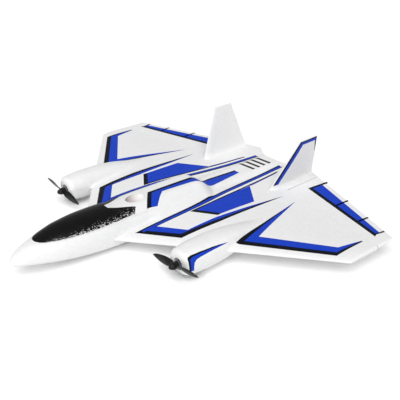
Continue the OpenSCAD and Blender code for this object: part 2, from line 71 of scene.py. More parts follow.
# Along y: the body's upper and lower edge, its keel's half width, and a pod's half width, top and bottom
RIDGE = [(-266, 25.5), (-262, 31.5), (-255, 37), (-243, 42.5), (-230, 46.5), (-205, 53.5), (-185, 57.5),
         (-150, 59.5), (-112, 58.5), (-95, 56.5), (-40, 55.5), (50, 54), (60, 51), (78, 38), (88, 35.5),
         (240, 34), (280, 33)]
KEEL = [(-266, 25.5), (-262, 22), (-255, 20.5), (-235, 17), (-205, 11), (-173, 6), (-140, 2.6), (-110, 1),
        (80, 1), (125, 4), (180, 13), (230, 23), (280, 28)]
KEEL_HALF = [(-120, 39.5), (0, 44), (100, 40), (200, 26), (280, 14)]
POD_HALF = [(-93, 20), (-84, 21.8), (-60, 23.2), (-30, 23), (0, 20.5), (30, 15), (50, 9.5), (62, 5)]
POD_TOP = [(-93, 42), (-84, 44), (-60, 46.5), (-30, 46.5), (0, 44), (30, 39), (50, 34.5), (62, 31)]
POD_LOW = [(-93, 6.8), (-84, 5.6), (-60, 4.6), (-30, 6), (0, 9.5), (30, 14.5), (50, 18.5), (62, 21.5)]


def lerp(a, b, t):
    return a + (b - a) * t


def smooth(t):
    t = np.clip(t, 0.0, 1.0)
    return t * t * (3 - 2 * t)


def arc(v):
    """Quarter circle: 1 at 0, down to 0 at 1."""
    return np.sqrt(np.clip(1 - np.clip(v, 0, 1) ** 2, 0, 1))


def soft(v, e):
    """Rounded max(0, v), with its corner rounded over +-e."""
    return np.where(v < -e, 0.0, np.where(v > e, v, (v + e) ** 2 / (4 * e)))


def smax(a, b, e):
    return b + soft(a - b, e)


def smin(a, b, e):
    return -smax(-a, -b, e)


def curve(v, table):
    """Smooth curve through a table's points, without overshoot."""
    xs, ys = (np.array(column, float) for column in zip(*table))
    step = np.diff(xs)
    rise = np.diff(ys) / step
    slope = np.concatenate([[rise[0]], np.zeros(len(xs) - 2), [rise[-1]]])
    same = rise[:-1] * rise[1:] > 0
    total = np.where(same, rise[:-1] + rise[1:], 1.0)
    slope[1:-1] = np.where(same, 2 * rise[:-1] * rise[1:] / total, 0.0)
    v = np.clip(v, xs[0], xs[-1])
    k = np.clip(np.searchsorted(xs, v, side="right") - 1, 0, len(step) - 1)
    h = step[k]
    t = (v - xs[k]) / h
    return ((1 + 2 * t) * (1 - t) ** 2 * ys[k] + t * (1 - t) ** 2 * h * slope[k]
            + t * t * (3 - 2 * t) * ys[k + 1] + t * t * (t - 1) * h * slope[k + 1])


def dome(u, n):
    """Half of a superellipse: 1 in the middle, 0 at the rim, steeply down beyond it."""
    inside = np.clip(u, 0, 1)
    return np.where(u >= 1, -2.5 * (u - 1), np.power(1 - inside ** n, 1 / n))


def le_y(x):
    return TIP_LE - LE_SWEEP * (HALF_SPAN - x)


def te_y(x):
    return TIP_TE + TE_SWEEP * (HALF_SPAN - x)


def hinge_y(x):
    return TIP_HINGE + HINGE_SWEEP * (HALF_SPAN - x)


def le_x(y):
    return HALF_SPAN - (TIP_LE - y) / LE_SWEEP


def section(s):
    """Four-digit thickness curve, 1 at 30 % of the chord."""
    s = np.clip(s, 0, 1)
    return 10 * (0.2969 * np.sqrt(s) - 0.126 * s - 0.3516 * s ** 2 + 0.2843 * s ** 3 - 0.1036 * s ** 4)


def wing_faces(x, y):
    """Heights of the wing's upper and lower skin at x, y."""
    x = np.abs(x)
    s = (y - le_y(x)) / (te_y(x) - le_y(x))
    out = (x - ROOT_X) / (HALF_SPAN - ROOT_X)
    thick = lerp(ROOT_THICK, TIP_THICK, out)
    camber = lerp(5.0, 1.0, out)
    back = smooth((s - THICKEST) / 0.5)
    mid = WING_Z + camber - thick / 2
    level = WING_Z + camber * (1 - back)
    half = 0.5 * thick * section(s)
    top = np.where(s < THICKEST, mid + half, level)
    low = np.where(s < THICKEST, mid - half, level - 2 * half - 2 * back)
    return top, low


def nose_half(y):
    """Half width of the nose at y."""
    t = np.clip((NOSE_END - y) / (NOSE_END - NOSE_Y), 0, 1)
    return NOSE_HALF * np.power(1 - t ** 1.6, 1 / 1.8)


def hump(x, y):
    """Upper side of the body alone: a round nose and, behind it, a spine like a roof."""
    x = np.abs(x)
    ridge = curve(y, RIDGE)
    round_top = WATERLINE + (ridge - WATERLINE) * dome(x / np.maximum(nose_half(y), 0.01), 2.2)
    roof_top = ridge - SPINE_SLOPE * soft(x - SPINE_FLAT, 5)
    return lerp(round_top, roof_top, smooth((y - ROOF_Y) / ROOF_LENGTH))


def belly(x, y):
    """Lower side of the body alone."""
    half = np.where(y < NOSE_END, nose_half(y), curve(y, KEEL_HALF))
    return WATERLINE - (WATERLINE - curve(y, KEEL)) * dome(np.abs(x) / np.maximum(half, 0.01), 2.4)


def body_faces(x, y):
    """Heights of the upper and lower skin with the body blended into the wing."""
    top, low = wing_faces(x, y)
    return smax(top, hump(x, y), BODY_BLEND), smin(low, belly(x, y), BODY_BLEND)


def pod_size(y):
    """Half width, middle height and half height of a motor pod at y."""
    top, low = curve(y, POD_TOP), curve(y, POD_LOW)
    return curve(y, POD_HALF), (top + low) / 2, (top - low) / 2


def skin_top(x, y):
    """Height of the finished upper skin, with the spine and the motor pods."""
    top = body_faces(x, y)[0]
    half, mid, tall = pod_size(y)
    u = np.abs(np.abs(x) - MOTOR_X) / half
    pod = np.where(u < 1.6, mid + tall * dome(u, POD_SQUARE), 0.0)
    on_pod = (y > POD_FRONT) & (y < POD_END)
    return np.where(on_pod, smax(pod, top, POD_BLEND), top)


# --- Mesh helpers ---

def new_object(name, data, material=None):
    obj = bpy.data.objects.new(name, data)
    bpy.context.scene.collection.objects.link(obj)
    if material:
        data.materials.append(material)
    return obj


def shade(mesh, angle=40):
    """Smooth shading except over edges sharper than the angle."""
    mesh.shade_smooth()
    mesh.set_sharp_from_angle(angle=math.radians(angle))


def to_mesh(name, bm):
    """Moves a bmesh into a new mesh."""
    mesh = bpy.data.meshes.new(name)
    bm.to_mesh(mesh)
    bm.free()
    return mesh


def from_bmesh(name, bm, material=None):
    """Object from a bmesh, with its faces turned outward and its sharp edges kept."""
    bmesh.ops.recalc_face_normals(bm, faces=bm.faces)
    mesh = to_mesh(name, bm)
    shade(mesh)
    return new_object(name, mesh, material)


def bmesh_of(name, points, faces):
    """Bmesh from points in mm and faces by index."""
    mesh = bpy.data.meshes.new(name)
    mesh.from_pydata((points * MM).tolist(), [], faces)
    bm = bmesh.new()
    bm.from_mesh(mesh)
    bpy.data.meshes.remove(mesh)
    return bm


def grid_faces(rows, cols, start=0, wrap=False):
    """Quads of a grid of points numbered row by row; wrap joins the last column to the first."""
    wide = cols if wrap else cols - 1
    return [(start + r * cols + c, start + r * cols + (c + 1) % cols,
             start + (r + 1) * cols + (c + 1) % cols, start + (r + 1) * cols + c)
            for r in range(rows - 1) for c in range(wide)]


def solid_from_rings(name, rings, material=None, side=1):
    """Closed solid through rings of points in mm, each with the same count; side -1 mirrors it."""
    rings = [[(p[0] * side, p[1], p[2]) for p in ring] for ring in rings]
    bm = bmesh.new()
    count = len(rings[0])
    verts = [bm.verts.new(Vector(p) * MM) for ring in rings for p in ring]
    for quad in grid_faces(len(rings), count, wrap=True):
        bm.faces.new([verts[k] for k in quad])
    for first in (0, len(verts) - count):
        bm.faces.new(verts[first:first + count])
    return from_bmesh(name, bm, material)


def prism(name, outline, low, high):
    """Upright block over an outline in plan, in mm."""
    return solid_from_rings(name, [[(x, y, z) for x, y in outline] for z in (low, high)])


def carve(obj, tools, operation="DIFFERENCE"):
    """Applies exact booleans with closed tools, which are then removed."""
    for tool in tools:
        step = obj.modifiers.new("carve", "BOOLEAN")
        step.operation = operation
        step.solver = "MANIFOLD"
        step.object = tool
    graph = bpy.context.evaluated_depsgraph_get()
    mesh = bpy.data.meshes.new_from_object(obj.evaluated_get(graph))
    obj.modifiers.clear()
    obj.data = mesh
    shade(mesh)
    for tool in tools:
        bpy.data.objects.remove(tool)
    return obj


def copy_of(obj, name):
    twin = obj.copy()
    twin.data = obj.data.copy()
    twin.name = twin.data.name = name
    bpy.context.scene.collection.objects.link(twin)
    return twin


def dress(piece, material):
    """Gives every face of a piece one material."""
    piece.data.materials.clear()
    piece.data.materials.append(material)
    piece.data.polygons.foreach_set("material_index", [0] * len(piece.data.polygons))


def place(piece, body, slot, *nodes):
    """Rides a finished piece on its body and hides the CAD nodes it stands for; slot is not used."""
    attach(piece, body)
    if nodes:
        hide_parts(*nodes)
    return piece


# --- Materials ---

class Shader:
    """A principled material and short calls for the nodes that feed it."""

    def __init__(self, name, **constant):
        self.material = bpy.data.materials.new(name)
        self.material.use_nodes = True
        self.tree = self.material.node_tree
        self.surface = self.tree.nodes["Principled BSDF"]
        for key, value in constant.items():
            self.surface.inputs[key.replace("_", " ")].default_value = value
        self.place = self.tree.nodes.new("ShaderNodeTexCoord").outputs["Object"]

    def node(self, kind, **settings):
        node = self.tree.nodes.new(kind)
        for key, value in settings.items():
            setattr(node, key, value)
        return node

    def link(self, source, target):
        self.tree.links.new(source, target)

    def axes(self, source):
        """X, Y and Z of a vector."""
        node = self.node("ShaderNodeSeparateXYZ")
        self.link(source, node.inputs[0])
        return node.outputs

    def math(self, operation, a, b=0.0, clamp=False):
        node = self.node("ShaderNodeMath", operation=operation, use_clamp=clamp)
        for socket, value in zip(node.inputs, (a, b)):
            if isinstance(value, (int, float)):
                socket.default_value = value
            else:
                self.link(value, socket)
        return node.outputs[0]

    def noise(self, scale, detail=4.0, stretch=None):
        node = self.node("ShaderNodeTexNoise")
        node.inputs["Scale"].default_value = scale
        node.inputs["Detail"].default_value = detail
        self.link(self.stretched(stretch), node.inputs["Vector"])
        return node.outputs["Fac"]

    def cells(self, scale, feature="F1"):
        node = self.node("ShaderNodeTexVoronoi", feature=feature)
        node.inputs["Scale"].default_value = scale
        self.link(self.place, node.inputs["Vector"])
        return node

    def stretched(self, stretch):
        if stretch is None:
            return self.place
        node = self.node("ShaderNodeMapping")
        node.inputs["Scale"].default_value = stretch
        self.link(self.place, node.inputs["Vector"])
        return node.outputs["Vector"]

    def spread(self, source, low, high, start=0.0, end=1.0):
        """Maps a 0 to 1 signal onto low to high."""
        node = self.node("ShaderNodeMapRange")
        self.link(source, node.inputs["Value"])
        for key, value in (("From Min", start), ("From Max", end), ("To Min", low), ("To Max", high)):
            node.inputs[key].default_value = value
        return node.outputs["Result"]

    def blend(self, factor, first, second):
        node = self.node("ShaderNodeMix", data_type="RGBA")
        self.link(factor, node.inputs["Factor"])
        for socket, value in zip((node.inputs[6], node.inputs[7]), (first, second)):
            if isinstance(value, tuple):
                socket.default_value = (*value, 1.0)
            else:
                self.link(value, socket)
        return node.outputs[2]

    def color(self, source):
        self.link(source, self.surface.inputs["Base Color"])

    def rough(self, source, low, high):
        self.link(self.spread(source, low, high), self.surface.inputs["Roughness"])

    def bump(self, height, depth):
        node = self.node("ShaderNodeBump")
        node.inputs["Strength"].default_value = 1.0
        node.inputs["Distance"].default_value = depth
        self.link(height, node.inputs["Height"])
        self.link(node.outputs["Normal"], self.surface.inputs["Normal"])


BEAD = 290.0  # foam beads per metre
FOAM_BUMP, FILM_BUMP = 0.00009, 0.00006
WHITE, SHADE = (0.83, 0.83, 0.83), (0.77, 0.77, 0.775)


def bead_height(shader, scale=BEAD):
    """Pressed foam beads: nearly flat cells with fine creases between them."""
    crease = shader.spread(shader.cells(scale, "DISTANCE_TO_EDGE").outputs["Distance"], 0.0, 1.0, 0.0, 0.10)
    grain = shader.math("MULTIPLY", shader.noise(2600.0), 0.25)
    swell = shader.math("MULTIPLY", shader.noise(60.0, 2.0), 1.2)
    return shader.math("ADD", shader.math("ADD", crease, grain), swell)


def foam_material(name="bead_foam", depth=FOAM_BUMP, scale=BEAD):
    """White moulded foam whose beads differ a little in tone."""
    shader = Shader(name, Roughness=0.5, Specular_IOR_Level=0.35)
    split = shader.node("ShaderNodeSeparateColor")
    shader.link(shader.cells(scale).outputs["Color"], split.inputs[0])
    tone = shader.math("MULTIPLY", split.outputs[0], 0.55)
    mottled = shader.math("ADD", tone, shader.math("MULTIPLY", shader.noise(45.0), 0.6))
    shader.color(shader.blend(mottled, SHADE, WHITE))
    shader.rough(shader.noise(900.0), 0.42, 0.62)
    shader.bump(bead_height(shader, scale), depth)
    return shader.material


def film_material(name, dark, light):
    """Printed film pressed on the foam: the beads telegraph through it."""
    shader = Shader(name, Specular_IOR_Level=0.05)
    shader.color(shader.blend(shader.noise(130.0, 3.0), dark, light))
    shader.rough(shader.noise(500.0), 0.34, 0.5)
    shader.bump(bead_height(shader), FILM_BUMP)
    return shader.material


def stock(name, dark, light, rough=(0.3, 0.45), bump=0.00002, scale=700.0, stretch=None, **constant):
    """Moulded, turned or coated stock with tone, gloss and grain from noise."""
    shader = Shader(name, **constant)
    shader.color(shader.blend(shader.noise(scale * 0.2, 4.0, stretch), dark, light))
    shader.rough(shader.noise(scale * 0.5, 4.0, stretch), *rough)
    shader.bump(shader.noise(scale, 6.0, stretch), bump)
    return shader.material


def canopy_material():
    """Black gloss print that breaks up into short white dashes towards the canopy's lower edge.

    The print's points store where each spot lies in the dash pattern and, third, how full its ink is.
    """
    shader = Shader("canopy_print", Specular_IOR_Level=0.12)
    spot = shader.node("ShaderNodeAttribute", attribute_name="print")
    along, down, fullness = shader.axes(spot.outputs["Vector"])
    flat = shader.node("ShaderNodeCombineXYZ")
    shader.link(along, flat.inputs[0])
    shader.link(down, flat.inputs[1])
    dashes = shader.node("ShaderNodeTexVoronoi")
    dashes.inputs["Scale"].default_value = 1.0
    shader.link(flat.outputs[0], dashes.inputs["Vector"])
    edge = shader.spread(dashes.outputs["Distance"], 1.0, 0.0, 0.0, 0.72)
    ink = shader.spread(shader.math("SUBTRACT", fullness, edge), 0.0, 1.0, -0.05, 0.05)
    tone = shader.blend(shader.noise(150.0), (0.002, 0.002, 0.0025), (0.005, 0.005, 0.0055))
    shader.color(shader.blend(ink, (0.8, 0.8, 0.81), tone))
    shader.rough(shader.noise(600.0), 0.24, 0.42)
    shader.bump(bead_height(shader), 0.00016)
    return shader.material


def hollow_shade_material(unshaded_y, shaded_y):
    """Foam with painted shade for the finger hollow: foam white at the first y, brownish dark at the second,
    both in metres.
    """
    shader = Shader("hollow_painted_shade", Roughness=0.7)
    # painted shade: this mask darkens the hollow towards its front side in place of the shadow that falls
    # there
    unshaded_share = shader.spread(shader.axes(shader.place)[1], 0.0, 1.0, shaded_y, unshaded_y)
    patchy = shader.math("ADD", unshaded_share, shader.spread(shader.noise(120.0), -0.15, 0.15), True)
    shader.color(shader.blend(patchy, (0.4, 0.33, 0.31), (0.78, 0.77, 0.77)))
    shader.bump(bead_height(shader), FOAM_BUMP)
    return shader.material


def clear_material():
    shader = Shader("clear_plastic", Roughness=0.08, Transmission_Weight=0.9, IOR=1.46)
    shader.color(shader.blend(shader.noise(60.0), (0.9, 0.92, 0.94), (0.96, 0.97, 0.98)))
    shader.rough(shader.noise(400.0), 0.04, 0.14)
    shader.bump(shader.noise(120.0, 3.0), 0.00004)
    return shader.material


# --- Airframe foam ---

NOTCH_Y, NOTCH_IN, NOTCH_OUT = 240.0, 15.4, 53.0
BACK_ROUND, TIP_ROUND = 1.2, 3.5


def rear_y(x):
    """Trailing edge: it steps forward in the middle, with a slanted side."""
    notch = lerp(NOTCH_Y, te_y(NOTCH_OUT), np.clip((x - NOTCH_IN) / (NOTCH_OUT - NOTCH_IN), 0, 1))
    return np.where(x < NOTCH_OUT, notch, te_y(x))


def sheet_faces(x, y, back):
    """Upper and lower skin, drawn together into a round edge at the back and at the tip."""
    top, low = body_faces(x, y)
    part = (y - le_y(np.abs(x))) / 12.0
    joined = smooth(1 + part)
    top, low = lerp(hump(x, y), top, joined), lerp(belly(x, y), low, joined)
    shrink = arc(1 - np.minimum((back - y) / BACK_ROUND, (HALF_SPAN - np.abs(x)) / TIP_ROUND))
    mid = (top + low) / 2
    return mid + (top - mid) * shrink, mid + (low - mid) * shrink


def body_half(y):
    """Half width of the centre body, out to the wing panels."""
    return np.minimum(ROOT_X, np.maximum(nose_half(y), le_x(y)))


def airframe_solid(name):
    """The whole foam moulding without its cuts: a nose, a centre body and two wing panels."""
    chord = (1 - np.cos(np.pi * np.arange(221) / 220)) / 2
    root_le, root_te = le_y(ROOT_X), te_y(ROOT_X)
    nose_end = -134.0
    nose = np.concatenate([NOSE_Y + 0.02 + (nose_end - NOSE_Y) * (1 - np.cos(np.pi / 2 * np.arange(50) / 50)),
                           np.linspace(nose_end, root_le, 32, endpoint=False)])
    across = np.sin(np.pi / 2 * np.arange(-36, 37) / 36)
    nose_x = body_half(nose)[:, None] * across
    nose_y = np.broadcast_to(nose[:, None], nose_x.shape)
    body_x = np.broadcast_to(ROOT_X * across, (len(chord), len(across)))
    body_y = lerp(root_le, root_te, chord)[:, None] + (rear_y(np.abs(body_x)) - root_te) * chord[:, None] ** 6
    sheets = [(np.vstack([nose_x, body_x]), np.vstack([nose_y, body_y]))]
    round_tip = HALF_SPAN - TIP_ROUND * (1 - np.sin(np.pi / 2 * np.arange(7) / 6))
    stations = np.concatenate([[ROOT_X, 75, 97, 122, 146, 170, 195, 220, 245, 268, 285], round_tip])
    for side in (-1, 1):
        wing_x = np.broadcast_to(side * stations, (len(chord), len(stations)))
        wing_y = lerp(le_y(stations), te_y(stations), chord[:, None])
        sheets.append((wing_x, wing_y))
    verts, faces = [], []
    for x, y in sheets:
        top, low = sheet_faces(x, y, rear_y(np.abs(x)))
        ahead = len(nose) if x.shape[1] == len(across) else 0
        for rim in (np.s_[0, :], np.s_[:ahead, 0], np.s_[:ahead, -1]):
            top[rim] = low[rim] = (top[rim] + low[rim]) / 2
        for z in (top, low):
            faces += grid_faces(*x.shape, start=sum(map(len, verts)))
            verts.append(np.stack([x, y, z], -1).reshape(-1, 3))
    bm = bmesh_of(name, np.concatenate(verts), faces)
    bmesh.ops.remove_doubles(bm, verts=bm.verts, dist=0.00002)
    return from_bmesh(name, bm)


# --- Motor pods blended into the wing ---

def block_value(x, y, z):
    """Below zero inside the wing and its left pod, and close to the distance from their skin."""
    top, low = wing_faces(x, y)
    wing = np.abs(z - (top + low) / 2) - (top - low) / 2 - np.minimum(y - le_y(x), 0) * 0.7
    half, level, tall = pod_size(y)
    ring = np.abs((x - MOTOR_X) / half) ** POD_SQUARE + np.abs((z - level) / tall) ** POD_SQUARE
    pod = (ring ** (1 / POD_SQUARE) - 1) * np.minimum(half, tall)
    pod = smax(smax(pod, POD_FRONT - y, POD_ROUND), y - POD_END, 2)
    return smin(wing, pod, POD_BLEND)


def gradient(value, points):
    """Slope of value at each point."""
    step = 0.02
    shifts = np.eye(3) * step
    return np.stack([(value(*(points + s).T) - value(*(points - s).T)) / (2 * step) for s in shifts], 1)


def settle(value, points, lift=0.0, reach=1.5):
    """Moves points onto the surface where value is lift, by no more than reach along each axis."""
    home = points.copy()
    for _ in range(8):
        slope = gradient(value, points)
        gap = (value(*points.T) - lift) / np.maximum((slope ** 2).sum(1), 0.05)
        points = points - gap[:, None] * slope
        points = home + np.clip(points - home, -reach, reach)
    return points


def surface_net(name, value, low, high, step):
    """Closed quad mesh round the region where value is below zero."""
    axes = [np.arange(a, b + step, step) for a, b in zip(low, high)]
    field = value(*np.meshgrid(*axes, indexing="ij"))
    inside = np.zeros(field.shape, bool)
    inside[1:-1, 1:-1, 1:-1] = field[1:-1, 1:-1, 1:-1] < 0
    cells = [inside[i:i - 1 or None, j:j - 1 or None, k:k - 1 or None]
             for i in (0, 1) for j in (0, 1) for k in (0, 1)]
    mixed = np.any(cells, 0) & ~np.all(cells, 0)
    number = np.full(mixed.shape, -1)
    number[mixed] = np.arange(mixed.sum())
    points = np.array(low) + (np.argwhere(mixed) + 0.5) * step
    points = settle(value, points, reach=step)
    faces = []
    for axis in range(3):
        a, b = (k for k in range(3) if k != axis)
        at = np.argwhere(np.diff(inside, axis=axis))
        unit_a, unit_b = np.eye(3, dtype=int)[[a, b]]
        faces.append(np.stack([number[tuple((at - shift).T)]
                               for shift in (0 * unit_a, unit_a, unit_a + unit_b, unit_b)], 1))
    return from_bmesh(name, bmesh_of(name, points, np.concatenate(faces).tolist()))


def mirrored(obj, name):
    """A copy reflected to the other side, with its faces turned the right way round."""
    twin = copy_of(obj, name)
    bm = bmesh.new()
    bm.from_mesh(twin.data)
    for vert in bm.verts:
        vert.co.x = -vert.co.x
    bmesh.ops.reverse_faces(bm, faces=bm.faces)
    bm.to_mesh(twin.data)
    bm.free()
    return twin


def block(name, low, high):
    """Upright box between two corners in mm."""
    return solid_from_rings(name, [[(low[0], low[1], z), (high[0], low[1], z), (high[0], high[1], z),
                                    (low[0], high[1], z)] for z in (low[2], high[2])])


def outboard(side, near, far):
    """Lowest and highest x of the stretch from near to far out from the middle on one side."""
    return (near, far) if side > 0 else (-far, -near)


def rod(name, center, radius, low, high, axis=2, side=1):
    """Cylinder along an axis (1 or 2) from low to high, in mm."""
    turn = [2 * math.pi * k / 96 for k in range(96)]
    circle = [(center[0] + radius * math.cos(a), center[1] + radius * math.sin(a)) for a in turn]
    rings = [[(u, v, level) if axis == 2 else (u, level, v) for u, v in circle] for level in (low, high)]
    return solid_from_rings(name, rings, side=side)


HINGE_X = 98.0
HINGE_ANGLE = -math.atan(HINGE_SWEEP)
HINGE_START = (HINGE_X, float(hinge_y(HINGE_X)), WING_Z - 0.4)


def hinge_frame(u, v, w):
    """Left side point from the hinge frame: u outboard along the hinge, v aft, w up."""
    c, s = math.cos(HINGE_ANGLE), math.sin(HINGE_ANGLE)
    return (HINGE_START[0] + u * c - v * s, HINGE_START[1] + u * s + v * c, HINGE_START[2] + w)


def hinge_block(name, outline, start, end, side=1):
    """Bar along the hinge with an outline in v and w."""
    rings = [[hinge_frame(u, v, w) for v, w in outline] for u in (start, end)]
    return solid_from_rings(name, rings, side=side)


def rect(v0, v1, w0, w1):
    """Outline of a rectangle."""
    return [(v0, w0), (v1, w0), (v1, w1), (v0, w1)]


HATCH_PLANE, HATCH_BACK, HATCH_HALF, HATCH_TOP = 46.0, -31.0, 60, 76
HATCH_VEE = 48  # how far the hatch's back edge runs forward on each side
PEG_AT, MAGNET_X, MAGNET_Y = (0, -214), 16, -55
THUMB_AT, THUMB_RADII = (2, -58, 58.5), (12, 17, 10)


def hatch_prism(name, grow=0.0):
    """Everything above the hatch's plane and ahead of its V-shaped back edge."""
    back = HATCH_BACK + grow
    corner = back - HATCH_VEE
    outline = rect(-HATCH_HALF, HATCH_HALF, NOSE_Y, corner)
    return prism(name, outline[:3] + [(0, back)] + outline[3:], HATCH_PLANE - grow, HATCH_TOP)


# Plans of the battery bay and of the hollow over it inside the hatch
BAY = [(-14, -205), (14, -205), (23, -172), (26, -130), (26, -64), (-26, -64), (-26, -130), (-23, -172)]
HOLLOW = [(-9, -196), (9, -196), (17, -165), (20, -130), (20, -84), (-20, -84), (-20, -130), (-17, -165)]
VENTS = [176.8 + 13 * k for k in range(4)]
VENT_X, VENT_LONG, VENT_WIDE, VENT_DEEP, VENT_TURN = -24, 38.0, 6.0, 1.4, math.radians(4)


def vent_point(start, u, v):
    """Point in plan on a slanted deck vent, u along it and v across."""
    c, s = math.cos(VENT_TURN), math.sin(VENT_TURN)
    return VENT_X + u * c - v * s, start + u * s + v * c


def vent_outline(start, grow):
    """Plan of one vent, wider by grow all round."""
    outline = rect(-grow, VENT_LONG + grow, -grow, VENT_WIDE + grow)
    return [vent_point(start, u, v) for u, v in outline]


def vent_tool(start):
    """Cutter for one vent that keeps a constant depth under the deck."""
    rings = []
    for u in np.linspace(0, VENT_LONG, 20):
        edges = vent_point(start, u, 0), vent_point(start, u, VENT_WIDE)
        floor_z = [float(skin_top(np.float64(x), np.float64(y))) - VENT_DEEP for x, y in edges]
        rings.append([(*edges[0], floor_z[0]), (*edges[1], floor_z[1]), (*edges[1], 50), (*edges[0], 50)])
    return solid_from_rings("vent_cut", rings)


def behind_hinge(name, outline, end_x, side):
    """Tool with an outline in v and w behind one side's hinge, from end_x out past the tip."""
    tool = hinge_block(name, outline, -20, 240, side)
    inner, outer = outboard(side, end_x, 350)
    return carve(tool, [block(name + "_end", (inner, 0, 0), (outer, 400, 60))], "INTERSECT")


ELEVON_GAP, ELEVON_END, ELEVON_UNDER = 0.8, 99.6, -14.4
ELEVON_BEVEL = 14 * math.tan(math.radians(26))
ELEVON_PROFILE = [(ELEVON_GAP, 8), (ELEVON_GAP, -0.4), (ELEVON_GAP + ELEVON_BEVEL, ELEVON_UNDER),
                  (110, ELEVON_UNDER), (110, 8)]


foam = foam_material()
white_smooth = foam_material("pressed_foam", 0.00005, 420.0)
black_film = film_material("black_film", (0.005, 0.006, 0.009), (0.009, 0.01, 0.014))
blue_film = film_material("blue_film", (0.01, 0.045, 0.46), (0.014, 0.058, 0.53))

POD_FROM, POD_TO = (112, -100, -3), (184, 80, 60)  # corners of the left pod's place in the wing
BORE_R, MOUTH_R = 14.0, 9.0
SERVO_ROOM = [(rect(-61.2, -40.8, -25, -2.8), 8.8, 26.2), (rect(-54, -38, -25, -2.8), 25, 34)]


def motor_tools():
    """Room for the left motor behind the foam lip, and the mouth through the lip."""
    center = (MOTOR_X, MOTOR_Z)
    return [rod("bore", center, BORE_R, FIREWALL_Y - 21, FIREWALL_Y + 2, axis=1),
            rod("mouth", center, MOUTH_R, -110, FIREWALL_Y, axis=1)]


pod_block = surface_net("pod_block", block_value, (109, -103, -5), (187, 83, 60), 1.2)
carve(pod_block, [block("pod_box", POD_FROM, POD_TO)], "INTERSECT")
carve(pod_block, [*motor_tools(), block("chin", (116, -99, -2), (176, -60, 13))])
right_block = mirrored(pod_block, "right_pod_block")
pod_block.name = "left_pod_block"
for piece, node in ((pod_block, "left_motor_pod"), (right_block, "right_motor_pod")):
    dress(piece, foam)
    place(piece, "airframe", "foam", node)

airframe = airframe_solid("airframe_foam")
hatch = copy_of(airframe, "hatch_foam")
elevons = {side: copy_of(airframe, side + "_elevon_foam") for side in SIDES}

cuts = [hatch_prism("hatch_cut", 0.4), prism("bay_cut", BAY, 16, 60),
        block("groove", (-17.6, -141.4, 14.6), (17.6, -124.6, 17)),
        block("skid_cut", (-22, -95, -2), (22, 75, 1.4)), rod("peg_cut", PEG_AT, 2.05, 38, 60)]
cuts += [vent_tool(y) for y in VENTS]
for side in SIDES.values():
    cuts.append(rod("magnet_cut", (MAGNET_X * side, MAGNET_Y), 3.02, 43.6, 60))
    inner, outer = outboard(side, POD_FROM[0], POD_TO[0])
    cuts.append(block("pod_cut", (inner, *POD_FROM[1:]), (outer, *POD_TO[1:])))
    cuts += [hinge_block("servo_cut", *room, side) for room in SERVO_ROOM]
    cuts.append(behind_hinge("elevon_cut", rect(-0.4, 130, -30, 15), HINGE_X, side))
carve(airframe, cuts)
dress(airframe, foam)
place(airframe, "airframe", "foam", "fuselage", "left_wing", "right_wing")

for side, sign in SIDES.items():
    piece = elevons[side]
    carve(piece, [behind_hinge("region", ELEVON_PROFILE, ELEVON_END, sign)], "INTERSECT")
    dress(piece, foam)
    place(piece, side + "_elevon", "foam", side + "_elevon")
    web = hinge_block(side + "_hinge_web", rect(-0.5, 1.0, -0.3, 0.35), 3, 201, sign)
    dress(web, white_smooth)
    middle = Vector(hinge_frame(100, 0, 0)) * MM
    middle.x *= sign
    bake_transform(web)
    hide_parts(side + "_hinge_strip")


def thumb_hollow(name):
    """Egg-shaped tool for the finger hollow behind the canopy."""
    rings = []
    (x, y, z), (wide, long, deep) = THUMB_AT, THUMB_RADII
    for k in range(1, 32):
        lat = math.pi * k / 32
        rings.append([(x + wide * math.sin(lat) * math.cos(a), y + long * math.sin(lat) * math.sin(a),
                       z - deep * math.cos(lat)) for a in (2 * math.pi * j / 48 for j in range(48))])
    return solid_from_rings(name, rings)


def in_thumb_hollow(point):
    """Whether a point in mm lies in the finger hollow or on its wall."""
    return sum(((p - c) / r) ** 2 for p, c, r in zip(point, THUMB_AT, THUMB_RADII)) < 1.03


tools = [prism("hollow", HOLLOW, 40, HATCH_PLANE + 5.5), thumb_hollow("thumb"),
         rod("peg", PEG_AT, 2.0, 40, 49)]
tools += [rod("magnet", (MAGNET_X * side, MAGNET_Y), 3.0, 40, 48) for side in SIDES.values()]
carve(hatch, [hatch_prism("hatch_keep")], "INTERSECT")
carve(hatch, tools)
dress(hatch, foam)
# painted shade material for the faces of the finger hollow
hatch.data.materials.append(hollow_shade_material(-0.046, -0.070))
for polygon in hatch.data.polygons:
    if in_thumb_hollow(polygon.center / MM):
        polygon.material_index = 1
place(hatch, "canopy", "canopy", "canopy_hatch")

# --- Trim film ---

HEM = 0.25  # how far the film's edge reaches into the foam
PANEL_LIFT, SPINE_LIFT, DECK_LIFT, VENT_LIFT = 0.10, 0.14, 0.16, -0.35


def foam_top(x, y):
    """Upper skin's height, with the blended pods."""
    z = skin_top(x, y)
    ax = np.abs(x)
    near = (ax > 114) & (ax < 182) & (y > -60) & (y < 78)
    if near.any():
        points = np.stack([ax[near], y[near], z[near] + 0.3], 1)
        for _ in range(8):
            value = block_value(*points.T)
            rise = (block_value(*(points + [0, 0, 0.02]).T) - value) / 0.02
            points[:, 2] -= np.clip(value / np.maximum(rise, 0.3), -1, 1)
        z = z.copy()
        z[near] = points[:, 2]
    return z


def cut_patch(outline, steps):
    """Flat patch over an outline, cut along a grid."""
    patch = bmesh.new()
    patch.faces.new([patch.verts.new((u, v, 0)) for u, v in outline])
    patch.normal_update()
    bmesh.ops.triangulate(patch, faces=patch.faces)
    for axis, step in enumerate(steps):
        values = [v.co[axis] for v in patch.verts]
        for level in np.arange(math.ceil(min(values) / step) * step, max(values), step):
            normal = Vector((1, 0, 0)) if axis == 0 else Vector((0, 1, 0))
            bmesh.ops.bisect_plane(patch, geom=patch.verts[:] + patch.edges[:] + patch.faces[:],
                                   plane_co=normal * float(level), plane_no=normal, dist=1e-5)
    return patch


